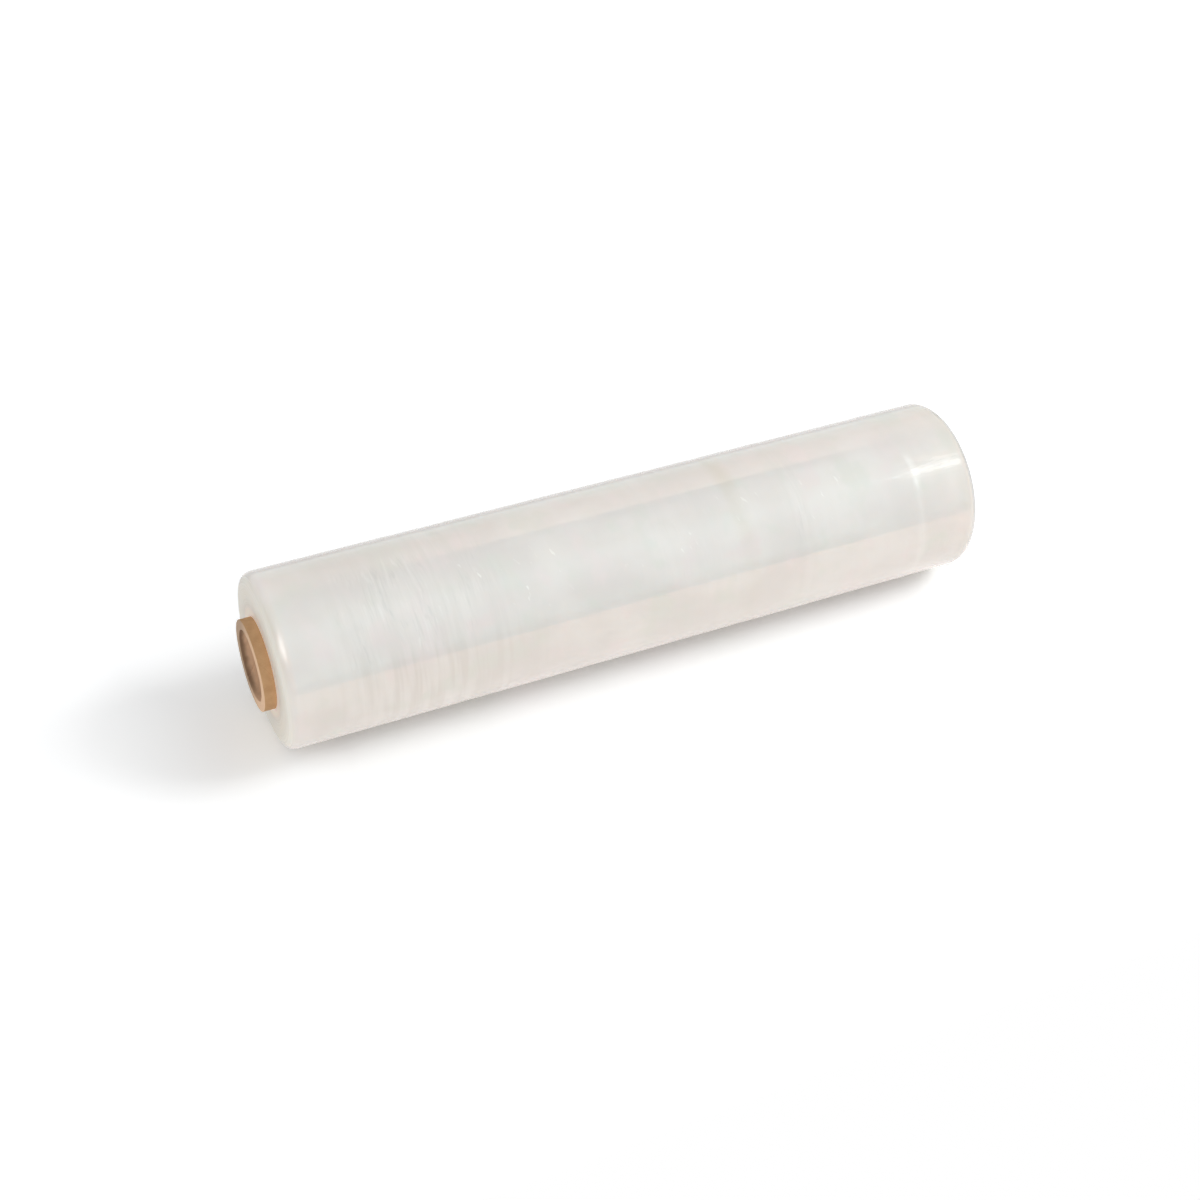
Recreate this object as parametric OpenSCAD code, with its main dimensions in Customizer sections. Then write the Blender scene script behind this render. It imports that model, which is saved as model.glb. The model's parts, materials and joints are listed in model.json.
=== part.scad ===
// Hand roll of clear stretch film, wound on a paper core that stands out at both ends.
// It lies on its side: the core's axis runs along X, and the film rests on a small flat spot at z = 0.

/* [Film] */
// Width of the wound film
film_w = 400; // [250:10:500]
// Outside diameter of the wound film
film_od = 94.5; // [85:0.5:130]
// Radius of the film's rounded shoulders
shoulder_r = 4; // [1:0.5:6]
// Width of the flat spot where the film has settled under the roll's weight
flat_w = 14; // [12:1:24]

/* [Turns] */
// Spacing of the bands of turns that show as rings on the end faces
ring_pitch = 1.5; // [1:0.25:3]
// How far a band of turns draws in from the end face
ring_depth = 0.15; // [0.05:0.05:0.5]
// Height of the strongest gauge band round the film
gauge_h = 0.25; // [0.1:0.05:0.4]
// Length of the slope at each side of a gauge band
gauge_slope = 2; // [1:0.5:4]
// Step down at the film's loose edge, where the last lap ends
lap_t = 0.2; // [0.1:0.05:0.3]
// Place of the loose edge, in degrees round from the flat spot towards the back
tail_angle = 55; // [35:5:80]

/* [Core] */
// Bore of the core
bore_d = 38; // [30:1:50]
// Wall of the core
core_wall = 5.5; // [2:0.5:8]
// Length of core that stands out of the film at each end
overhang = 6.5; // [2:0.5:30]
// Chamfer on the cut edges of the core
core_chamfer = 0.5; // [0.2:0.1:0.8]

/* [Hidden] */
$fn = 180;

// Gauge bands along the roll: place from the end at -X, width, and height as a share of gauge_h
GAUGE_BANDS = [
    [34, 3, -0.6], [58, 4, 0.5], [78, 3, 0.3], [100, 5, -0.7], [131, 3, 0.5], [205, 5, 0.3],
    [258, 8, -0.6], [292, 6, 0.6], [362, 4, 1]
];
GOLDEN_TURN = 137.5;
NEAR_PHASE = 0;
FAR_PHASE = 90;
SHOULDER_STEPS = 8;
RING_SLOPE_SHARE = 0.35;
CLEAR = 1;

film_r = film_od / 2;
bore_r = bore_d / 2;
core_r = bore_r + core_wall;
film_half = film_w / 2;
core_half = film_half + overhang;
axis_z = sqrt(pow(film_r, 2) - pow(flat_w / 2, 2));

// The shoulder is limited by half of the film's depth on the core
shoulder = min(shoulder_r, (film_r - core_r) / 2);
ring_top = film_r - shoulder;
ring_count = floor((ring_top - core_r) / ring_pitch);
ring_space = (ring_top - core_r) / ring_count;

// How far ring i draws in from the end face; the phase makes the two ends differ
function draw_in(i, phase) = ring_depth * (1 - cos(i * GOLDEN_TURN + phase)) / 2;

// One end face from the core out to the shoulder, as [radius, depth below the end face]
function ring_points(phase) = [
    for (i = [0 : ring_count - 1])
        for (edge = [0, 1 - RING_SLOPE_SHARE])
            [core_r + (i + edge) * ring_space, draw_in(i, phase)]
];

// The rounded shoulder from the end face out to the film's side, as [radius, depth below the end face]
function shoulder_points() = [
    for (k = [0 : SHOULDER_STEPS])
        let (turn = 90 * k / SHOULDER_STEPS)
            [ring_top + shoulder * sin(turn), shoulder * (1 - cos(turn))]
];

function end_points(phase) = concat(ring_points(phase), shoulder_points());

// Bands that lie whole on the film, at its present width
function fits(band) =
    band[0] - band[1] / 2 - gauge_slope > shoulder &&
    band[0] + band[1] / 2 + gauge_slope < film_w - shoulder;

// The side of the film as [radius, place along the axis], with a slope up to and down from each band
function side_points() = [
    for (band = GAUGE_BANDS)
        if (fits(band))
            for (edge = [[-1, 1, 0], [-1, 0, 1], [1, 0, 1], [1, 1, 0]])
                [
                    film_r + edge[2] * band[2] * gauge_h,
                    band[0] - film_half + edge[0] * (band[1] / 2 + edge[1] * gauge_slope)
                ]
];

function reversed(list) = [for (i = [len(list) - 1 : -1 : 0]) list[i]];

// Half of the film's section: up the end at -X, along the side, and down the end at +X
near_end = [for (p = end_points(NEAR_PHASE)) [p[0], p[1] - film_half]];
far_end = reversed([for (p = end_points(FAR_PHASE)) [p[0], film_half - p[1]]]);
film_section = concat(near_end, side_points(), far_end);

// What the last lap leaves off past its loose edge: the space outside the lap before it
under_lap = concat(
    [[ring_top - lap_t, -film_half - CLEAR]],
    [for (p = shoulder_points()) [p[0] - lap_t, p[1] - film_half]],
    [for (p = side_points()) [p[0] - lap_t, p[1]]],
    reversed([for (p = shoulder_points()) [p[0] - lap_t, film_half - p[1]]]),
    [[ring_top - lap_t, film_half + CLEAR]],
    [[film_r + CLEAR, film_half + CLEAR], [film_r + CLEAR, -film_half - CLEAR]]
);

// Lays what was turned about Z along X, with angles counted from the bottom towards the back
module lay_down() {
    translate([0, 0, axis_z]) rotate([0, 90, 0]) children();
}

// Paper tube with its cut edges broken
module core() {
    section = [
        [bore_r, core_chamfer - core_half], [bore_r + core_chamfer, -core_half],
        [core_r - core_chamfer, -core_half], [core_r, core_chamfer - core_half],
        [core_r, core_half - core_chamfer], [core_r - core_chamfer, core_half],
        [bore_r + core_chamfer, core_half], [bore_r, core_half - core_chamfer]
    ];
    color("#ab8362") lay_down() rotate_extrude() polygon(section);
}

// All the turns of film as one solid on the core, with the last lap's loose edge low at the back
module film_roll() {
    color("#e0ddd6") difference() {
        lay_down() difference() {
            rotate_extrude() polygon(film_section);
            rotate_extrude(angle = tail_angle, start = 0) polygon(under_lap);
        }
        translate([-film_w, -film_od, -film_od]) cube([2 * film_w, 2 * film_od, film_od]);
    }
}

core();
film_roll();
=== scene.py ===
"""A hand roll of clear stretch film on a kraft paper core, lying on a pale table in soft studio light."""
import math
from types import SimpleNamespace

import bpy
import numpy as np
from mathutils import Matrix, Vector
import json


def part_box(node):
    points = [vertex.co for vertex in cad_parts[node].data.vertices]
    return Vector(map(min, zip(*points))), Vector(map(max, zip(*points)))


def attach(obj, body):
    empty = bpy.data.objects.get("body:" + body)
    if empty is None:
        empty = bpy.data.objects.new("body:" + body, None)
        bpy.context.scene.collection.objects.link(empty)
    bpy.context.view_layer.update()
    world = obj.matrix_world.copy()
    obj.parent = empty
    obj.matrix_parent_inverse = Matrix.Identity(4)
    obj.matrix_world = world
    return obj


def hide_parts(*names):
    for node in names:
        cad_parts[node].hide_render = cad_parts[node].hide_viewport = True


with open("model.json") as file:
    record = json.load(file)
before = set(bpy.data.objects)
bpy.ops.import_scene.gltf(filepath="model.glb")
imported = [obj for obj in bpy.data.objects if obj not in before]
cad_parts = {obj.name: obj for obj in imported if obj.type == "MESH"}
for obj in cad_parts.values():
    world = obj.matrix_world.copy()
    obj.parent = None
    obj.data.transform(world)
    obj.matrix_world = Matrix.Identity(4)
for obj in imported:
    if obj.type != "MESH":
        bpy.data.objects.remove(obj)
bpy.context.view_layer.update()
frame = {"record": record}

MM = 0.001
SHARP_ANGLE = math.radians(40)

# Sizes that come from the frame
FILM_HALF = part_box("film_roll")[1][0]
CORE_LOW, CORE_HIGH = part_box("core")
BORE_MOUNT = next(m for m in frame["record"]["mounts"] if m["name"] == "core_bore")
AXIS_Z = BORE_MOUNT["pos_m"][2]
BORE_R = BORE_MOUNT["dims"]["r_mm"] * MM
CORE_R = (CORE_HIGH[2] - CORE_LOW[2]) / 2
CORE_HALF = CORE_HIGH[0]

# The wound film
FILM_R = 47.25 * MM
SHOULDER_R = 6 * MM
RING_TOP = FILM_R - SHOULDER_R
LAP = 0.2 * MM
TAIL_ANGLE = math.radians(55)
TAIL_EDGE = 0.1 * MM
# Waves of the loose edge: height and length in mm, and phase; they fade out round the roll
TAIL_WAVES = ((0.8, 118, 1.3), (0.45, 47, 0.4), (0.2, 21, 2.0))
TAIL_FADE = math.radians(7)
RING_PITCH = 1.5 * MM
RING_DEPTH = 0.05 * MM
RING_SLOPE_SHARE = 0.35
GOLDEN_TURN = math.radians(137.5)
NEAR_PHASE = 0
FAR_PHASE = math.pi / 2
GAUGE_HEIGHT = 0.12 * MM
GAUGE_SLOPE = 2 * MM
# Gauge bands: place from the near end in mm, width in mm, share of the full height
GAUGE_BANDS = ((34, 3, -0.6), (58, 4, 0.5), (78, 3, 0.3), (100, 5, -0.7), (131, 3, 0.5),
               (205, 5, 0.3), (258, 8, -0.6), (292, 6, 0.6), (362, 4, 1.0))
# Streaks round the film, strongest so many mm from the near end and down to this share away from there
STREAK_HEIGHT = 0.02 * MM
STREAKS_MIDDLE = 80
STREAKS_REACH = 52
STREAKS_LEAST = 0.06
WAVE_HEIGHT = 0.04 * MM

# The paper core
CHAMFER = 0.5 * MM
PLY = 0.9 * MM
PLY_GROOVE = 0.12 * MM
GROOVE_SHARE = 0.18
ROUGH_CUT = 0.06 * MM
ROUGH_CUT_KNOTS = 40
# The seams run round the core once in this length
SEAM_LEAD = 105 * MM
SEAM_WIDTH = 0.35 * MM
SEAM_ROWS_REACH = math.radians(6)
INNER_SEAM = math.radians(20)
INNER_SEAM_HEIGHT = 0.18 * MM
OUTER_SEAM = math.radians(215)
OUTER_SEAM_DEPTH = 0.15 * MM
WALL_SKIN = 0.1 * MM
FIBRE_RELIEF = 0.06 * MM
MOTTLE_RELIEF = 0.1 * MM

# Marks on the film. Places along it are in mm from its near end, and places round it in degrees from the
# front horizon over the top. A pair gives where a mark begins and is full, or its middle and half its width.
CREASED_START = (24, 42)
CREASED_END = (134, 92)
CREASED_MIDDLE = (222, 40)
CREASED_BAND = (292, 9)
LOW_BARS = (78, 74)
STROKES_START = (60, 90)
STROKES_END = (345, 320)
STROKES_TURN = (50, 34)
BROWN_BAND = (259.5, 8.5)
# The white line leans by so many mm where it bulges, and has strong and faint stretches round the roll; the
# strong stretch, where it crosses the highlight, is a painted highlight
WHITE_LINE = 363.3
LINE_HALF = 3.4
LINE_LEAN = 1.6
LINE_BULGE = (50, 14)
LINE_PAINTED_HIGHLIGHT_START = (36, 44)
LINE_PAINTED_HIGHLIGHT_END = (66, 58)
LINE_FAINT = (66, 40)
HIGHLIGHT_TURN = (51.5, 10)
SLACK_START = (352, 366)
SLACK_END = (399, 392)
ROUGHER = (350, 362)
RIPPLED = (348, 362)
FAR_SHADE = (384, 398)
FAR_RIM = (395.5, 398.5)
# How far in from the film's outside the side begins and is full, in mm
SIDE_START = 3.4
SIDE_FULL = 0.4
# Painted light beside the core, where the film meets the paper: how far its warm tone and its emitted glow
# reach in mm, and the glow's strength
PAINTED_WARMTH_REACH = 8
PAINTED_GLOW_REACH = 6
PAINTED_CORE_GLOW = 0.24
PAINTED_GLOW_COLOUR = (1, 0.82, 0.66, 1)
THREAD_RELIEF = 0.07 * MM
SLACK_RELIEF = 0.25 * MM
RING_RELIEF = 0.2 * MM
SCATTER_REACH = 25 * MM

# The camera, fitted to the roll's outline: its place from the middle of the roll's axis, in film radii
CAMERA_OFFSET = Vector((-7.626, -16.596, 13.697))
CAMERA_YAW = math.radians(24.03)
CAMERA_PITCH = math.radians(37.82)
CAMERA_LENS = 59.45

rng = np.random.default_rng(17)


# Meshes

def ease(f):
    """A smooth step from 0 to 1."""
    return f * f * (3 - 2 * f)


def smooth_noise(n, knots):
    """A smooth closed random curve of n samples through so many knots, from -1 to 1."""
    values = rng.uniform(-1, 1, knots)
    t = np.arange(n) / n * knots
    i = t.astype(int) % knots
    f = ease(t - np.floor(t))
    return values[i] * (1 - f) + values[(i + 1) % knots] * f


def noise_2d(u, v, cells_u, cells_v):
    """Smooth noise over u in 0..1 and v in 0..1, closed in v, from -1 to 1."""
    values = rng.uniform(-1, 1, (cells_u + 2, cells_v))
    a = u * cells_u
    b = v * cells_v
    i = np.clip(a.astype(int), 0, cells_u)
    j = b.astype(int) % cells_v
    fa = ease(a - i)
    fb = ease(b - np.floor(b))
    j2 = (j + 1) % cells_v
    low = values[i, j] * (1 - fb) + values[i, j2] * fb
    high = values[i + 1, j] * (1 - fb) + values[i + 1, j2] * fb
    return low * (1 - fa) + high * fa


def ring_mesh(name, points):
    """A closed mesh from points[along the section, round the axis]; both directions close on themselves."""
    n_s, n_a = points.shape[:2]
    index = np.arange(n_s * n_a).reshape(n_s, n_a)
    next_s = np.roll(index, -1, axis=0)
    next_a = np.roll(index, -1, axis=1)
    both = np.roll(next_s, -1, axis=1)
    quads = np.stack([index, next_a, both, next_s], axis=-1).reshape(-1, 4)
    mesh = bpy.data.meshes.new(name)
    mesh.vertices.add(n_s * n_a)
    mesh.vertices.foreach_set("co", points.reshape(-1))
    mesh.loops.add(quads.size)
    mesh.loops.foreach_set("vertex_index", quads.reshape(-1))
    mesh.polygons.add(len(quads))
    mesh.polygons.foreach_set("loop_start", np.arange(0, quads.size, 4))
    mesh.update(calc_edges=True)
    mesh.validate()
    mesh.shade_smooth()
    obj = bpy.data.objects.new(name, mesh)
    bpy.context.scene.collection.objects.link(obj)
    return obj


def sharpen(obj):
    """Marks the edges that bend more than SHARP_ANGLE as sharp."""
    bpy.context.view_layer.objects.active = obj
    obj.select_set(True)
    bpy.ops.object.shade_smooth_by_angle(angle=SHARP_ANGLE, keep_sharp_edges=True)
    obj.select_set(False)


def lay_round_axis(x, r, angle):
    """Points from a place along the axis, a radius, and an angle from the bottom towards the back."""
    return np.stack([x, r * np.sin(angle), AXIS_Z - r * np.cos(angle)], axis=-1)


def gauge_profile(x):
    """Height of the gauge bands at x, a place along the roll from its middle."""
    height = np.zeros_like(x)
    for place, width, share in GAUGE_BANDS:
        away = np.abs(x + FILM_HALF - place * MM) - width * MM / 2
        rise = np.clip(1 - away / GAUGE_SLOPE, 0, 1)
        height += share * GAUGE_HEIGHT * ease(rise)
    return height


def ring_draw(r, phase):
    """How far the bands of turns draw in from the end face at radius r."""
    count = int((RING_TOP - CORE_R) / RING_PITCH)
    place = (r - CORE_R) / (RING_TOP - CORE_R) * count
    i = np.clip(np.floor(place), 0, count - 1)
    f = ease(np.clip((place - i - (1 - RING_SLOPE_SHARE)) / RING_SLOPE_SHARE, 0, 1))
    here = (1 - np.cos(i * GOLDEN_TURN + phase)) / 2
    after = np.where(i + 1 < count, (1 - np.cos((i + 1) * GOLDEN_TURN + phase)) / 2, 0)
    return RING_DEPTH * (here * (1 - f) + after * f)


def make_film():
    """The turns of film as one closed mesh, with gauge bands, rings and the last lap's loose edge."""
    n_face, n_shoulder, n_side, n_angle = 44, 10, 280, 238
    face_r = np.linspace(CORE_R, RING_TOP, n_face, endpoint=False)
    turn = np.linspace(0, math.pi / 2, n_shoulder, endpoint=False)
    side_x = np.linspace(-FILM_HALF + SHOULDER_R, FILM_HALF - SHOULDER_R, n_side)

    near_x = -FILM_HALF + ring_draw(face_r, NEAR_PHASE)
    far_x = FILM_HALF - ring_draw(face_r, FAR_PHASE)
    shoulder_r = RING_TOP + SHOULDER_R * np.sin(turn)
    shoulder_in = SHOULDER_R * (1 - np.cos(turn))
    section_r = np.concatenate([face_r, shoulder_r, FILM_R + gauge_profile(side_x),
                                shoulder_r[::-1], face_r[::-1]])
    section_x = np.concatenate([near_x, -FILM_HALF + shoulder_in, side_x,
                                FILM_HALF - shoulder_in[::-1], far_x[::-1]])

    # Two rows of points close together make the step at the loose edge
    angle = np.linspace(0, 2 * math.pi, n_angle, endpoint=False)
    edge = int(round(TAIL_ANGLE * n_angle / (2 * math.pi)))
    angle[edge] = TAIL_ANGLE - TAIL_EDGE / FILM_R
    angle[edge + 1] = TAIL_ANGLE

    x, a = np.meshgrid(section_x, angle, indexing="ij")
    r = np.repeat(section_r[:, None], n_angle, axis=1)
    along = (x + FILM_HALF) / MM
    u = (x + FILM_HALF) / (2 * FILM_HALF)
    v = a / (2 * math.pi)

    # Fine relief of the side: streaks round the roll and long soft waves
    streaks = STREAK_HEIGHT * noise_2d(u, v, 260, 7) + STREAK_HEIGHT * noise_2d(u, v, 90, 9)
    waves = WAVE_HEIGHT * noise_2d(u, v, 12, 5)
    streaky = STREAKS_LEAST + (1 - STREAKS_LEAST) * np.exp(-((along - STREAKS_MIDDLE) / STREAKS_REACH) ** 4)
    r = r + np.clip((r - RING_TOP) / SHOULDER_R, 0, 1) * (streaks * streaky + waves)

    # The last lap ends on a slightly wavy edge
    under = (a < TAIL_ANGLE - TAIL_EDGE / 2 / FILM_R)
    r = r - np.where(under, LAP, 0) * np.clip((r - RING_TOP) / SHOULDER_R, 0, 1)
    sway = sum(height * np.sin(2 * math.pi * along / length + start) for height, length, start in TAIL_WAVES)
    a = a + sway * MM / FILM_R * np.exp(-((a - TAIL_ANGLE) / TAIL_FADE) ** 2)

    points = lay_round_axis(x, r, a)
    points[..., 2] = np.maximum(points[..., 2], 0)
    points[..., 0] = np.clip(points[..., 0], -FILM_HALF, FILM_HALF)
    film = ring_mesh("wound_film", points)
    sharpen(film)
    return film


def make_core():
    """The paper tube, with plies on its cut ends and a spiral seam inside and outside."""
    n_x, n_end, n_chamfer, n_seam, n_even = 120, 26, 4, 15, 150
    wall_x = np.linspace(-CORE_HALF + CHAMFER, CORE_HALF - CHAMFER, n_x)
    end_r = np.linspace(BORE_R + CHAMFER, CORE_R - CHAMFER, n_end)
    turn = np.linspace(0, math.pi / 2, n_chamfer, endpoint=False)[1:]
    inner_r = BORE_R + CHAMFER * (1 - np.cos(turn))
    inner_x = CHAMFER * (1 - np.sin(turn))
    outer_r = CORE_R - CHAMFER * (1 - np.cos(turn))[::-1]
    outer_x = inner_x[::-1]
    ply = (end_r - BORE_R) / PLY
    groove = PLY_GROOVE * np.exp(-((ply - np.round(ply)) / GROOVE_SHARE) ** 2)
    section_r = np.concatenate([np.full(n_x, BORE_R), inner_r, end_r, outer_r,
                                np.full(n_x, CORE_R), outer_r[::-1], end_r[::-1], inner_r[::-1]])
    section_x = np.concatenate([wall_x, CORE_HALF - inner_x, CORE_HALF - groove, CORE_HALF - outer_x,
                                wall_x[::-1], -CORE_HALF + outer_x[::-1], -CORE_HALF + groove[::-1],
                                -CORE_HALF + inner_x[::-1]])

    # The rows of points lie closer together at the two seams
    seam_rows = np.linspace(-1, 1, n_seam) ** 3 * SEAM_ROWS_REACH
    even = np.linspace(0, 2 * math.pi, n_even, endpoint=False)
    angle = np.unique(np.round(np.concatenate([even, INNER_SEAM + seam_rows, OUTER_SEAM + seam_rows]), 5))
    x, a = np.meshgrid(section_x, angle, indexing="ij")
    r = np.repeat(section_r[:, None], len(angle), axis=1)

    inside = np.clip((BORE_R + WALL_SKIN - r) / WALL_SKIN, 0, 1)
    outside = np.clip((r - CORE_R + WALL_SKIN) / WALL_SKIN, 0, 1)
    r = r + inside * INNER_SEAM_HEIGHT * np.exp(-((a - INNER_SEAM) * BORE_R / SEAM_WIDTH) ** 2)
    r = r - outside * OUTER_SEAM_DEPTH * np.exp(-((a - OUTER_SEAM) * CORE_R / SEAM_WIDTH) ** 2)
    rough_cut = ROUGH_CUT * smooth_noise(len(angle), ROUGH_CUT_KNOTS)[None, :]
    x = x - np.sign(x) * np.where(np.abs(x) > CORE_HALF - CHAMFER / 2, rough_cut + ROUGH_CUT, 0)
    points = lay_round_axis(x, r, a + 2 * math.pi * x / SEAM_LEAD)
    core = ring_mesh("paper_core", points)
    sharpen(core)
    return core


# Materials

class Graph:
    """Short names for making shader nodes and links."""

    def __init__(self, tree):
        self.tree = tree
        tree.nodes.clear()

    def node(self, kind, **settings):
        made = self.tree.nodes.new(kind)
        for key, value in settings.items():
            setattr(made, key, value)
        return made

    def link(self, source, target):
        self.tree.links.new(source, target)

    def feed(self, socket, value):
        if isinstance(value, bpy.types.NodeSocket):
            self.link(value, socket)
        else:
            socket.default_value = value

    def math(self, operation, a, b=0.0, third=0.0):
        n = self.node("ShaderNodeMath", operation=operation)
        for socket, value in zip(n.inputs, (a, b, third)):
            self.feed(socket, value)
        return n.outputs[0]

    def plus(self, a, b):
        return self.math("ADD", a, b)

    def minus(self, a, b):
        return self.math("SUBTRACT", a, b)

    def times(self, a, b):
        return self.math("MULTIPLY", a, b)

    def scaled(self, vector, scale, turn=(0, 0, 0)):
        n = self.node("ShaderNodeMapping")
        self.link(vector, n.inputs["Vector"])
        n.inputs["Scale"].default_value = scale
        n.inputs["Rotation"].default_value = turn
        return n.outputs[0]

    def noise(self, vector, detail, roughness=0.5):
        n = self.node("ShaderNodeTexNoise")
        self.link(vector, n.inputs["Vector"])
        n.inputs["Scale"].default_value = 1.0
        n.inputs["Detail"].default_value = detail
        n.inputs["Roughness"].default_value = roughness
        return n.outputs["Fac"]

    def remap(self, value, low, high, to_low=0.0, to_high=1.0, smooth=False):
        n = self.node("ShaderNodeMapRange", interpolation_type="SMOOTHSTEP" if smooth else "LINEAR")
        self.feed(n.inputs["Value"], value)
        n.inputs["From Min"].default_value = low
        n.inputs["From Max"].default_value = high
        n.inputs["To Min"].default_value = to_low
        n.inputs["To Max"].default_value = to_high
        return n.outputs["Result"]

    def mix(self, factor, a, b):
        n = self.node("ShaderNodeMix", data_type="RGBA")
        self.feed(n.inputs["Factor"], factor)
        self.feed(n.inputs["A"], a)
        self.feed(n.inputs["B"], b)
        return n.outputs["Result"]

    def ramp(self, value, stops):
        n = self.node("ShaderNodeValToRGB")
        self.link(value, n.inputs["Fac"])
        elements = n.color_ramp.elements
        while len(elements) < len(stops):
            elements.new(0.5)
        for element, (place, colour) in zip(elements, stops):
            element.position = place
            element.color = colour
        return n.outputs["Color"]

    def painted_light(self, paint, light, strength):
        """A matt paint that also glows: both colours and the glow's strength may be values or sockets."""
        matt = self.node("ShaderNodeBsdfDiffuse")
        self.feed(matt.inputs["Color"], paint)
        lamp = self.node("ShaderNodeEmission")
        self.feed(lamp.inputs["Color"], light)
        self.feed(lamp.inputs["Strength"], strength)
        both = self.node("ShaderNodeAddShader")
        self.link(matt.outputs[0], both.inputs[0])
        self.link(lamp.outputs[0], both.inputs[1])
        return both.outputs[0]

    def background(self, colour):
        n = self.node("ShaderNodeBackground")
        self.feed(n.inputs["Color"], colour)
        return n.outputs[0]

    def mix_shaders(self, factor, a, b):
        """Shader a where the factor is 0 and b where it is 1; the one that isn't used costs no time."""
        n = self.node("ShaderNodeMixShader")
        self.link(factor, n.inputs[0])
        self.link(a, n.inputs[1])
        self.link(b, n.inputs[2])
        return n.outputs[0]

    def bump(self, height, distance, strength, normal=None):
        n = self.node("ShaderNodeBump")
        n.inputs["Distance"].default_value = distance
        n.inputs["Strength"].default_value = strength
        self.link(height, n.inputs["Height"])
        if normal is not None:
            self.link(normal, n.inputs["Normal"])
        return n.outputs["Normal"]


def linear(r, g, b):
    """A colour as written in 0..255 screen values, in the linear values that sockets take."""
    def one(c):
        c = c / 255
        return c / 12.92 if c <= 0.04045 else ((c + 0.055) / 1.055) ** 2.4
    return (one(r), one(g), one(b), 1.0)


# The film's colours
CREAM = linear(231, 226, 220)
DEEP_CREAM = linear(225, 219, 213)
COOL_PATCH = linear(221, 221, 211)
PINK_PATCH = linear(232, 221, 217)
BAR_TONE = linear(216, 206, 197)
FAINT_LINE = linear(222, 217, 210)
DARK_THREAD = linear(202, 200, 194)
LIGHT_THREAD = linear(246, 243, 238)
LIGHT_STROKE = linear(248, 246, 240)
BAND_BROWN = linear(214, 208, 192)
LINE_WHITE_AND_PAINTED_HIGHLIGHT = linear(250, 247, 242)
PAINTED_HIGHLIGHT_WHITE = linear(252, 246, 240)
EDGE_WHITE = linear(246, 244, 240)
PAINTED_EDGE_SHADOW = linear(186, 182, 174)
FACE_PALE = linear(244, 240, 227)
RING_DARK = linear(222, 217, 205)
RING_LIGHT = linear(252, 250, 244)
PAINTED_LIGHT_BESIDE_CORE = linear(255, 243, 230)
FAR_PAINTED_SHADE = linear(200, 196, 189)
RIM_PAINTED_SHADE = linear(156, 159, 160)

# The paper's colours
KRAFT_DARK = linear(188, 147, 106)
KRAFT_LIGHT = linear(204, 164, 122)
FIBRE_LIGHT = linear(224, 190, 154)
FIBRE_DARK = linear(158, 116, 78)
CUT_FRONT_PAINTED_LIGHT = linear(250, 214, 180)
CUT_BACK_PAINTED_SHADE = linear(190, 166, 144)
BORE_MOUTH_PAINTED_LIGHT = linear(255, 218, 184)
BORE_DEEP_PAINTED_SHADE = linear(112, 80, 58)
MOUTH_PAINTED_SHADE = linear(104, 78, 58)


def new_material(name):
    """A node material with an empty Principled shader, as the material, its graph and the shader."""
    material = bpy.data.materials.new(name)
    material.use_nodes = True
    g = Graph(material.node_tree)
    out = g.node("ShaderNodeOutputMaterial")
    shader = g.node("ShaderNodeBsdfPrincipled")
    g.link(shader.outputs[0], out.inputs["Surface"])
    return material, g, shader


def roll_coordinates(g):
    """Object coordinates; place along the roll from its near end and radius, in mm; degrees round the roll.

    The degrees go from the front horizon, over the top, to the back.
    """
    coords = g.node("ShaderNodeTexCoord").outputs["Object"]
    split = g.node("ShaderNodeSeparateXYZ")
    g.link(coords, split.inputs[0])
    along = g.times(g.plus(split.outputs[0], FILM_HALF), 1 / MM)
    front = g.times(split.outputs[1], -1.0)
    up = g.minus(split.outputs[2], AXIS_Z)
    radius = g.math("SQRT", g.plus(g.times(front, front), g.times(up, up)))
    turned = g.times(g.math("ARCTAN2", up, front), 180 / math.pi)
    return coords, along, g.times(radius, 1 / MM), turned


def round_lines(g, along, turned, spacing, length, slant):
    """Noise drawn out round the roll: spacing and length in mm, slant in mm along the roll per mm round."""
    arc = g.times(turned, math.radians(FILM_R / MM))
    place = g.node("ShaderNodeCombineXYZ")
    g.link(g.times(g.plus(along, g.times(arc, slant)), 1 / spacing), place.inputs[0])
    g.link(g.times(arc, 1 / length), place.inputs[1])
    return g.noise(place.outputs[0], detail=2)


def hump(g, value, centre, half_width):
    """1 at the centre, falling smoothly to 0 at half_width on either side."""
    away = g.math("ABSOLUTE", g.minus(value, centre))
    return g.remap(away, 0, half_width, 1, 0, smooth=True)


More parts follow.
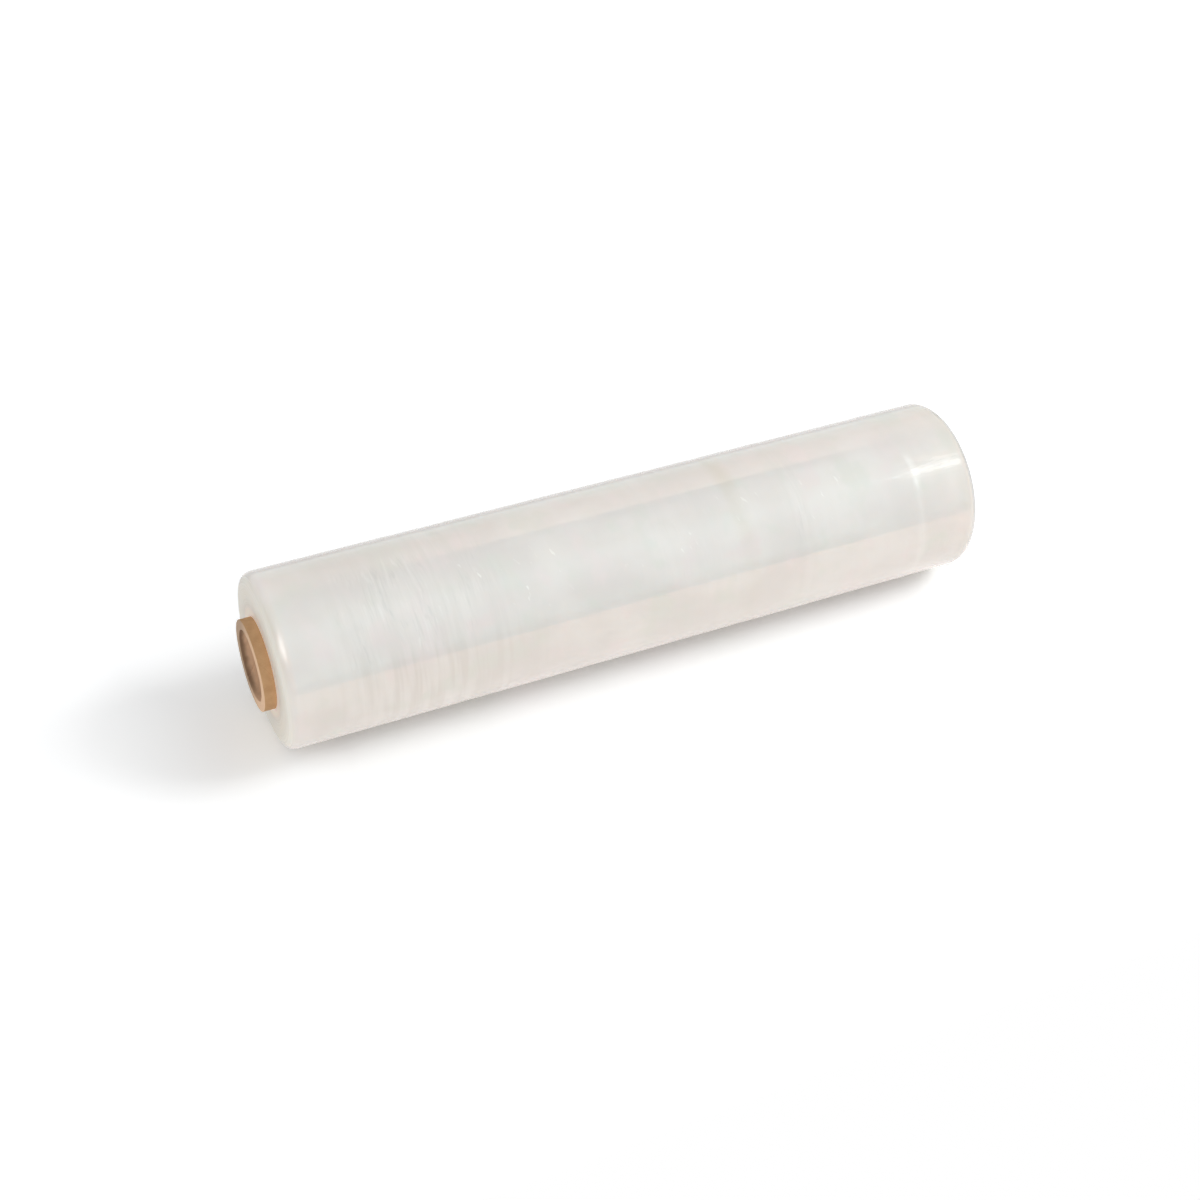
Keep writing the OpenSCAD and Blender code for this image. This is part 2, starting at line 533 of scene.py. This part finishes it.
def film_fields(g):
    """What the film's tone, gloss and relief all depend on, as sockets."""
    coords, along, radius, turned = roll_coordinates(g)
    f = SimpleNamespace(coords=coords, along=along, radius=radius, turned=turned)
    f.side = g.remap(radius, FILM_R / MM - SIDE_START, FILM_R / MM - SIDE_FULL, smooth=True)
    f.face = g.remap(f.side, 0, 1, 1, 0)
    f.cloud = g.noise(g.scaled(coords, (22, 26, 26)), detail=3)

    creased = g.times(g.remap(along, *CREASED_START, smooth=True), g.remap(along, *CREASED_END, smooth=True))
    f.creased = g.plus(creased, g.plus(g.times(hump(g, along, *CREASED_BAND), 0.8),
                                       g.times(hump(g, along, *CREASED_MIDDLE), 0.25)))
    drift = g.plus(along, g.times(g.noise(g.scaled(coords, (30, 26, 26)), detail=1), 7))
    f.threads = round_lines(g, drift, turned, 1.5, 18, 0.03)
    f.creases = round_lines(g, drift, turned, 3.2, 14, 0.08)
    f.soft_lines = round_lines(g, along, turned, 5.0, 60, 0.01)

    # The film past the white line is slack, and its highlight is broken into painted highlight blotches,
    # which also make it rougher
    f.slack = g.times(g.remap(along, *SLACK_START, smooth=True), g.remap(along, *SLACK_END, smooth=True))
    blotch = g.remap(g.noise(g.scaled(coords, (70, 420, 420)), detail=3), 0.34, 0.66, 0.12, 1.0, smooth=True)
    f.blotch = g.times(g.times(blotch, f.slack), hump(g, turned, *HIGHLIGHT_TURN))

    wobble = g.times(g.noise(g.scaled(coords, (30, 30, 30)), detail=1), 1.2)
    ring_place = g.node("ShaderNodeCombineXYZ")
    g.link(g.plus(g.times(radius, 1.1), wobble), ring_place.inputs[0])
    g.link(g.times(along, 0.05), ring_place.inputs[1])
    f.rings = g.noise(ring_place.outputs[0], detail=3, roughness=0.6)
    return f


def patchy_tone(g, f):
    """Cream, cooler and pinker in soft patches, with faint lines low on the near part's front."""
    tone = g.mix(g.remap(f.cloud, 0.36, 0.64, smooth=True), CREAM, DEEP_CREAM)
    tint = g.noise(g.scaled(f.coords, (46, 40, 40), (0.5, 0.2, 0.1)), detail=3)
    tone = g.mix(g.remap(tint, 0.52, 0.68, 0.0, 0.6, smooth=True), tone, COOL_PATCH)
    tone = g.mix(g.remap(tint, 0.46, 0.32, 0.0, 0.6, smooth=True), tone, PINK_PATCH)
    bars = g.times(hump(g, f.along, *LOW_BARS), g.remap(f.turned, 32, 12, smooth=True))
    bars = g.times(g.remap(f.soft_lines, 0.46, 0.62, smooth=True), g.times(bars, 0.42))
    tone = g.mix(bars, tone, BAR_TONE)
    faint = g.plus(g.times(f.creased, 0.5), 0.1)
    return g.mix(g.times(g.remap(f.soft_lines, 0.4, 0.65), faint), tone, FAINT_LINE)


def creased_tone(g, f, tone):
    """Darker and lighter threads where the film is creased, mostly on the front."""
    patches = g.remap(g.noise(g.scaled(f.coords, (60, 45, 45)), detail=2), 0.40, 0.62, smooth=True)
    facing = g.remap(f.turned, 100, 74, 0.15, 1.0, smooth=True)
    amount = g.times(g.times(f.creased, facing), g.plus(g.times(patches, 0.75), 0.12))
    amount = g.times(amount, g.remap(f.turned, 14, 30, 0.2, 1.0, smooth=True))
    dark = g.math("MAXIMUM", g.remap(f.threads, 0.48, 0.32, 0, 0.6, smooth=True),
                  g.remap(f.creases, 0.42, 0.28, 0, 0.8, smooth=True))
    tone = g.mix(g.times(dark, g.times(amount, 0.45)), tone, DARK_THREAD)
    light = g.math("MAXIMUM", g.remap(f.threads, 0.54, 0.70, 0, 0.6, smooth=True),
                   g.remap(f.creases, 0.58, 0.72, 0, 0.9, smooth=True))
    return g.mix(g.times(light, g.times(amount, 0.4)), tone, LIGHT_THREAD)


def stroke_tone(g, f, tone):
    """A few short light strokes on the middle of the front."""
    strokes = round_lines(g, f.along, f.turned, 3.0, 9, 0.35)
    sparse = g.noise(g.scaled(f.coords, (38, 60, 60), (0.7, 0.3, 0)), detail=1)
    sparse = g.times(g.remap(sparse, 0.52, 0.62, smooth=True), hump(g, f.turned, *STROKES_TURN))
    reach = g.times(g.remap(f.along, *STROKES_START, smooth=True),
                    g.remap(f.along, *STROKES_END, smooth=True))
    stroke = g.times(g.times(g.remap(strokes, 0.64, 0.72, smooth=True), sparse), reach)
    return g.mix(g.times(stroke, 0.7), tone, LIGHT_STROKE)


def band_tone(g, f, tone):
    """The brownish band round the roll."""
    band = g.times(hump(g, g.plus(f.along, g.times(f.creases, 3)), *BROWN_BAND),
                   g.times(g.remap(f.cloud, 0.35, 0.6, 0.12, 0.5), g.remap(f.turned, 8, 34, 0.35, 1.0)))
    return g.mix(band, tone, BAND_BROWN)


def far_line_tone(g, f, tone):
    """The white line near the far end, faint below the highlight and strong where it crosses it, which is a
    painted highlight; painted highlight blotches follow on the slack film past it.
    """
    place = g.plus(WHITE_LINE, g.times(hump(g, f.turned, *LINE_BULGE), LINE_LEAN))
    strong = g.times(g.remap(f.turned, *LINE_PAINTED_HIGHLIGHT_START, smooth=True),
                     g.remap(f.turned, *LINE_PAINTED_HIGHLIGHT_END, smooth=True))
    reach = g.plus(g.times(strong, 0.55), g.remap(f.turned, *LINE_FAINT, 0.0, 0.16, smooth=True))
    reach = g.times(reach, g.remap(f.creases, 0.3, 0.6, 0.45, 1.1))
    tone = g.mix(g.times(hump(g, g.minus(f.along, place), 0, LINE_HALF), reach), tone, LINE_WHITE_AND_PAINTED_HIGHLIGHT)
    return g.mix(g.times(f.blotch, 0.6), tone, PAINTED_HIGHLIGHT_WHITE)


def loose_edge_tone(g, f, tone):
    """The loose edge low at the back: a thin painted shadow under it and a whiter strip beside it."""
    past = g.times(g.minus(-90 - math.degrees(TAIL_ANGLE), f.turned), math.radians(FILM_R / MM))
    for height, length, start in TAIL_WAVES:
        wave = g.math("SINE", g.plus(g.times(f.along, 2 * math.pi / length), start))
        past = g.minus(past, g.times(wave, height))
    low_back = g.math("LESS_THAN", f.turned, -100)
    strip = g.times(g.remap(past, 0, 0.3), g.remap(past, 9, 1, smooth=True))
    tone = g.mix(g.times(strip, g.times(low_back, 0.6)), tone, EDGE_WHITE)
    # Painted shadow: a thin dark line where the edge lies over the film below
    painted_gap_shadow = g.times(hump(g, past, -0.3, 0.8), low_back)
    return g.mix(g.times(painted_gap_shadow, 0.8), tone, PAINTED_EDGE_SHADOW)


def end_tone(g, f, tone):
    """Paler end faces with fine rings of turns, painted light beside the core, and painted shade on the far
    edge and its rim.
    """
    tone = g.mix(g.times(f.face, 0.85), tone, FACE_PALE)
    tone = g.mix(g.times(f.face, g.remap(f.rings, 0.48, 0.66, 0, 0.5)), tone, RING_DARK)
    tone = g.mix(g.times(f.face, g.remap(f.rings, 0.50, 0.34, 0, 0.45)), tone, RING_LIGHT)
    # Painted light: a pale warm tone that lifts the shade in the corner beside the core
    beside = g.remap(f.radius, CORE_R / MM, CORE_R / MM + PAINTED_WARMTH_REACH, 1, 0, smooth=True)
    tone = g.mix(g.times(beside, 0.9), tone, PAINTED_LIGHT_BESIDE_CORE)
    # Painted shade: a greyer far edge, and a grey line along its rim
    tone = g.mix(g.times(g.remap(f.along, *FAR_SHADE, smooth=True), 0.55), tone, FAR_PAINTED_SHADE)
    return g.mix(g.times(g.remap(f.along, *FAR_RIM, smooth=True), 0.85), tone, RIM_PAINTED_SHADE)


def film_relief(g, f):
    """Threads and creases, the slack film's ripples and the end faces' rings, as a normal."""
    ripple = g.plus(g.times(f.creased, 0.97), 0.03)
    height = g.plus(g.times(f.threads, 0.5), g.times(f.creases, 0.5))
    normal = g.bump(g.times(g.times(height, ripple), f.side), THREAD_RELIEF, 0.6)
    slack = g.noise(g.scaled(f.coords, (150, 110, 110)), detail=3)
    slack = g.times(slack, g.remap(f.along, *RIPPLED, 0.2, 1.1, smooth=True))
    normal = g.bump(g.times(slack, f.side), SLACK_RELIEF, 0.5, normal)
    return g.bump(g.times(f.rings, f.face), RING_RELIEF, 0.5, normal)


def film_material():
    """Milky, scattering film under a clear gloss that stops at the end faces."""
    material, g, shader = new_material("stretch_film")
    f = film_fields(g)
    tone = patchy_tone(g, f)
    for feature in (creased_tone, stroke_tone, band_tone, far_line_tone, loose_edge_tone, end_tone):
        tone = feature(g, f, tone)
    g.link(tone, shader.inputs["Base Color"])

    # Painted light: a faint warm glow emitted by the film beside the core, lifting the shade there
    glow = g.remap(f.radius, CORE_R / MM, CORE_R / MM + PAINTED_GLOW_REACH, PAINTED_CORE_GLOW, 0, smooth=True)
    g.link(glow, shader.inputs["Emission Strength"])
    shader.inputs["Emission Color"].default_value = PAINTED_GLOW_COLOUR

    matte = g.times(f.creased, g.remap(f.threads, 0.3, 0.7))
    matte = g.plus(matte, g.times(f.slack, g.remap(f.blotch, 0, 1, 0.3, 1.2)))
    rough = g.plus(g.remap(f.along, *ROUGHER, 0.05, 0.2, smooth=True), g.times(matte, 0.1))
    g.link(g.plus(rough, g.remap(f.side, 0, 1, 0.45, 0)), shader.inputs["Roughness"])
    shader.inputs["IOR"].default_value = 1.6
    shader.inputs["Specular IOR Level"].default_value = 0.5
    g.link(f.side, shader.inputs["Coat Weight"])
    shader.inputs["Coat Roughness"].default_value = 0.03
    shader.inputs["Coat IOR"].default_value = 1.5
    shader.inputs["Subsurface Weight"].default_value = 1.0
    shader.inputs["Subsurface Radius"].default_value = (1.0, 0.9, 0.8)
    shader.inputs["Subsurface Scale"].default_value = SCATTER_REACH
    g.link(film_relief(g, f), shader.inputs["Normal"])
    return material


def kraft_material():
    """Kraft paper with fibres and mottle, pale on the cut ends; painted light and shade make the cut ends
    paler in front, and the bore pale at its mouth and darker deeper in and at the back of its mouth.
    """
    material, g, shader = new_material("kraft_paper")
    coords, along, radius, turned = roll_coordinates(g)
    fibre = g.noise(g.scaled(coords, (900, 2200, 2200), (0.4, 0.2, 0)), detail=5, roughness=0.7)
    mottle = g.noise(g.scaled(coords, (160, 160, 160)), detail=4)
    tone = g.mix(g.remap(mottle, 0.3, 0.7), KRAFT_DARK, KRAFT_LIGHT)
    tone = g.mix(g.times(g.remap(fibre, 0.55, 0.75), 0.35), tone, FIBRE_LIGHT)
    tone = g.mix(g.times(g.remap(fibre, 0.45, 0.25), 0.3), tone, FIBRE_DARK)
    from_middle = g.math("ABSOLUTE", g.minus(along, FILM_HALF / MM))

    # Pale on the cut ends, and paler in front than at the back; that difference is painted light and shade
    cut = g.remap(from_middle, CORE_HALF / MM - 0.5, CORE_HALF / MM - 0.15, smooth=True)
    back = g.remap(g.math("ABSOLUTE", turned), 60, 125, smooth=True)
    tone = g.mix(g.times(cut, 0.85), tone, g.mix(back, CUT_FRONT_PAINTED_LIGHT, CUT_BACK_PAINTED_SHADE))

    # Painted light near the bore's mouth and painted shade deeper in the bore, and painted shade at the back
    # of its mouth
    inside = g.remap(radius, BORE_R / MM + 0.3, BORE_R / MM + 0.05)
    depth = g.minus(CORE_HALF / MM, from_middle)
    deep = g.remap(depth, 9, 30, smooth=True)
    tone = g.mix(g.times(inside, 0.8), tone, g.mix(deep, BORE_MOUTH_PAINTED_LIGHT, BORE_DEEP_PAINTED_SHADE))
    mouth = g.remap(g.plus(depth, g.times(mottle, 3)), 6.0, 2.4, smooth=True)
    mouth = g.times(mouth, g.times(inside, back))
    tone = g.mix(g.times(mouth, 0.8), tone, MOUTH_PAINTED_SHADE)
    g.link(tone, shader.inputs["Base Color"])
    g.link(g.remap(fibre, 0.2, 0.8, 0.75, 0.95), shader.inputs["Roughness"])
    shader.inputs["Specular IOR Level"].default_value = 0.3
    normal = g.bump(fibre, FIBRE_RELIEF, 0.6)
    g.link(g.bump(mottle, MOTTLE_RELIEF, 0.3, normal), shader.inputs["Normal"])
    return material


def table_material():
    """White table top: it keeps the roll's shadow, and is lifted to white where the camera sees it."""
    material = bpy.data.materials.new("table_top")
    material.use_nodes = True
    g = Graph(material.node_tree)
    out = g.node("ShaderNodeOutputMaterial")
    path = g.node("ShaderNodeLightPath")
    coords = g.node("ShaderNodeTexCoord").outputs["Object"]
    place = g.node("ShaderNodeSeparateXYZ")
    g.link(coords, place.inputs[0])
    x, y = place.outputs[0], place.outputs[1]

    # For the camera: a painted contact shadow under the roll, and lifted towards white far away, at the left
    # and behind it
    under = g.times(hump(g, y, *UNDER_ROLL),
                    g.remap(g.math("ABSOLUTE", x), FILM_HALF - UNDER_END, FILM_HALF, CONTACT_SHADE, 0))
    away = g.node("ShaderNodeVectorMath", operation="LENGTH")
    g.link(coords, away.inputs[0])
    far = g.remap(away.outputs["Value"], *FAR_AWAY, 0.0, FAR_LIFT, smooth=True)
    left = g.remap(x, *LEFT_OF_ROLL, 0.0, LEFT_LIFT, smooth=True)
    behind = g.remap(y, *BEHIND_ROLL, 0.0, BACK_LIFT, smooth=True)
    lift = g.plus(far, g.math("MAXIMUM", left, behind))
    seen = g.painted_light(g.mix(under, TABLE_SHOWN, BLACK), WHITE, lift)

    # For the film's gloss: a little lighter at the foot of the roll and behind it, and darker far away
    foot = g.times(g.remap(y, *FOOT_START, smooth=True), g.remap(y, *FOOT_FADE, 1, 0))
    glow = g.plus(g.times(foot, FOOT_GLOW), g.times(hump(g, y, *BACK_STRIP), BACK_GLOW))
    paint = g.mix(g.remap(y, *MIRRORED_FADE, smooth=True), TABLE_WHITE, TABLE_MIRRORED)
    mirrored = g.painted_light(paint, TABLE_WARMTH, g.plus(glow, TABLE_GLOW))

    plain = g.painted_light(TABLE_WHITE, TABLE_WARMTH, TABLE_GLOW)
    unseen = g.mix_shaders(path.outputs["Is Glossy Ray"], plain, mirrored)
    g.link(g.mix_shaders(path.outputs["Is Camera Ray"], unseen, seen), out.inputs["Surface"])
    return material


# The stage

WHITE = (1, 1, 1, 1)
BLACK = (0, 0, 0, 1)

# The table: its edge towards the camera and its reach in the other directions, in metres
TABLE_FRONT = -0.315
TABLE_REACH = 4.0
TABLE_WHITE = (0.9, 0.9, 0.9, 1)
TABLE_GLOW = 0.15
TABLE_WARMTH = (1, 0.92, 0.88, 1)
# As the camera sees it
TABLE_SHOWN = (1.235, 1.25, 1.262, 1)
CONTACT_SHADE = 0.22
FAR_LIFT = 0.5
LEFT_LIFT = 0.13
BACK_LIFT = 0.07
# As the film mirrors it
TABLE_MIRRORED = (0.83, 0.83, 0.83, 1)
FOOT_GLOW = 0.16
BACK_GLOW = 0.10
# Where its tone changes, in metres: a pair gives where a change begins and is full, or its middle and reach
UNDER_ROLL = (0, 0.075)
UNDER_END = 0.03
FAR_AWAY = (0.3, 0.8)
LEFT_OF_ROLL = (-0.22, -0.30)
BEHIND_ROLL = (0.03, 0.08)
FOOT_START = (-0.038, -0.022)
FOOT_FADE = (0.0, 0.01)
BACK_STRIP = (0.15, 0.13)
MIRRORED_FADE = (0.15, 0.5)

# The world's even light, from behind and from the front
WORLD_LIGHT = (0.49, 0.49, 0.49, 1)
WORLD_FRONT = (0.92, 0.92, 0.92, 1)
# The room that the film mirrors: degrees round the roll from the front horizon, over the top, to the back
ROOM_FROM = -90
ROOM_TO = 180
MIRRORED_ROOM = (
    (-90, (0.55, 0.57, 0.58, 1)), (-19, (0.50, 0.56, 0.60, 1)), (-13.5, (0.16, 0.54, 0.70, 1)),
    (-7, (0.16, 0.54, 0.70, 1)), (5, (0.46, 0.97, 1.13, 1)), (20, (0.64, 1.02, 1.26, 1)),
    (40, (0.99, 1.46, 1.65, 1)), (59, (1.33, 1.84, 2.02, 1)), (78, (1.17, 1.55, 1.68, 1)),
    (95, (1.20, 1.52, 1.68, 1)), (117, (0.96, 1.22, 1.35, 1)), (118.5, (1.74, 1.70, 1.69, 1)),
    (150, (1.24, 1.20, 1.16, 1)), (168, (1.06, 1.12, 1.08, 1)), (180, (1.08, 1.11, 1.12, 1)),
)
# The same with a soft upper edge, as the creased part and the far end show it
SOFT_ROOM = tuple(sorted([stop for stop in MIRRORED_ROOM if not 100 < stop[0] < 120]
                         + [(108, (1.14, 1.36, 1.48, 1)), (132, (1.50, 1.54, 1.52, 1))]))
# What the far contour and the near end mirror, and the window that glints on the near shoulder
FAR_ROOM = (0.84, 0.85, 0.86, 1)
END_ROOM = (0.80, 0.76, 0.70, 1)
WINDOW = (4.4, 4.3, 4.1, 1)
WINDOW_TURN = (math.radians(51), math.radians(30))
# The room's parts, in pairs as above, by how far a direction points along the roll: -1 to 1 at the far end
CRISP_START = (0.20, 0.29)
CRISP_END = (0.48, 0.43)
TINT_START = (0.08, 0.16)
TINT_END = (0.62, 0.54)
DARK_STRIP = (0.67, 0.14)
DARK_STRIP_SHADE = 0.6
FAR_START = (0.72, 0.90)
END_START = (-0.6, -0.85)
WINDOW_SIDE = (-0.50, 0.65)

STRIP_WATTS = 0.2
SIDE_WATTS = 25.0


def make_table():
    """The floor, which ends a little in front of the roll so that the film mirrors its edge."""
    mesh = bpy.data.meshes.new("table_top")
    corners = [(-TABLE_REACH, TABLE_FRONT, 0), (TABLE_REACH, TABLE_FRONT, 0),
               (TABLE_REACH, TABLE_REACH, 0), (-TABLE_REACH, TABLE_REACH, 0)]
    mesh.from_pydata(corners, [], [(0, 1, 2, 3)])
    table = bpy.data.objects.new("table_top", mesh)
    bpy.context.scene.collection.objects.link(table)
    table.data.materials.append(table_material())


def make_world():
    """White to the camera, even light on matt surfaces, and for gloss a room that differs round the roll."""
    world = bpy.data.worlds.new("studio")
    bpy.context.scene.world = world
    world.use_nodes = True
    g = Graph(world.node_tree)
    out = g.node("ShaderNodeOutputWorld")
    path = g.node("ShaderNodeLightPath")
    direction = g.node("ShaderNodeSeparateXYZ")
    g.link(g.node("ShaderNodeTexCoord").outputs["Generated"], direction.inputs[0])
    sideways = direction.outputs[0]
    front = g.times(direction.outputs[1], -1.0)
    round_roll = g.math("ARCTAN2", direction.outputs[2], front)
    round_roll = g.math("WRAP", round_roll, math.radians(ROOM_FROM + 360), third=math.radians(ROOM_FROM))
    share = g.remap(round_roll, math.radians(ROOM_FROM), math.radians(ROOM_TO))

    span = ROOM_TO - ROOM_FROM
    crisp, soft = (g.ramp(share, [((angle - ROOM_FROM) / span, colour) for angle, colour in room])
                   for room in (MIRRORED_ROOM, SOFT_ROOM))
    sharp = g.times(g.remap(sideways, *CRISP_START, smooth=True), g.remap(sideways, *CRISP_END, smooth=True))
    mirrored = g.mix(sharp, soft, crisp)
    grey = g.node("ShaderNodeRGBToBW")
    g.link(mirrored, grey.inputs[0])
    tinted = g.times(g.remap(sideways, *TINT_START, smooth=True), g.remap(sideways, *TINT_END, smooth=True))
    mirrored = g.mix(tinted, grey.outputs[0], mirrored)
    mirrored = g.mix(g.times(hump(g, sideways, *DARK_STRIP), DARK_STRIP_SHADE), mirrored, BLACK)
    mirrored = g.mix(g.remap(sideways, *FAR_START, smooth=True), mirrored, FAR_ROOM)
    mirrored = g.mix(g.remap(sideways, *END_START, smooth=True), mirrored, END_ROOM)
    window = g.times(hump(g, sideways, *WINDOW_SIDE), hump(g, round_roll, *WINDOW_TURN))
    mirrored = g.mix(window, mirrored, WINDOW)

    even = g.mix(g.remap(front, -0.4, 1.0, smooth=True), WORLD_LIGHT, WORLD_FRONT)
    lit = g.mix_shaders(path.outputs["Is Glossy Ray"], g.background(even), g.background(mirrored))
    shown = g.math("MAXIMUM", path.outputs["Is Camera Ray"], path.outputs["Is Transmission Ray"])
    g.link(g.mix_shaders(shown, lit, g.background(WHITE)), out.inputs["Surface"])


def area_light(name, place, aim, size, watts, mirrored=True):
    """A square white area light that the gloss may mirror or not."""
    light = bpy.data.lights.new(name, "AREA")
    light.shape = "RECTANGLE"
    light.size = size
    light.size_y = size
    light.energy = watts
    obj = bpy.data.objects.new(name, light)
    obj.location = place
    obj.visible_glossy = mirrored
    obj.rotation_euler = (Vector(aim) - Vector(place)).to_track_quat("-Z", "Y").to_euler()
    bpy.context.scene.collection.objects.link(obj)


def make_lights():
    """A small light that makes the highlight at the far end, and a large one that makes the shadow."""
    area_light("strip", (0.81, -0.545, 0.97), (0.18, 0, AXIS_Z), 0.17, STRIP_WATTS)
    area_light("side_box", (2.0, -0.68, 1.65), (0, 0, AXIS_Z), 1.05, SIDE_WATTS, mirrored=False)


def make_camera():
    """The photo's camera, level and aimed by its yaw and pitch."""
    data = bpy.data.cameras.new("camera")
    data.sensor_width = 36
    data.lens = CAMERA_LENS
    camera = bpy.data.objects.new("camera", data)
    camera.location = Vector((0, 0, AXIS_Z)) + CAMERA_OFFSET * FILM_R
    level = math.cos(CAMERA_PITCH)
    forward = Vector((level * math.sin(CAMERA_YAW), level * math.cos(CAMERA_YAW), -math.sin(CAMERA_PITCH)))
    camera.rotation_euler = forward.to_track_quat("-Z", "Y").to_euler()
    bpy.context.scene.collection.objects.link(camera)
    bpy.context.scene.camera = camera


def dress(piece, material, node):
    """Gives a piece its material and lets it stand for a node of the frame."""
    piece.data.materials.append(material)
    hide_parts(node)
    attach(piece, "root")


make_camera()
make_table()
make_world()
make_lights()
dress(make_film(), film_material(), "film_roll")
dress(make_core(), kraft_material(), "core")
bpy.context.scene.view_settings.view_transform = "Standard"
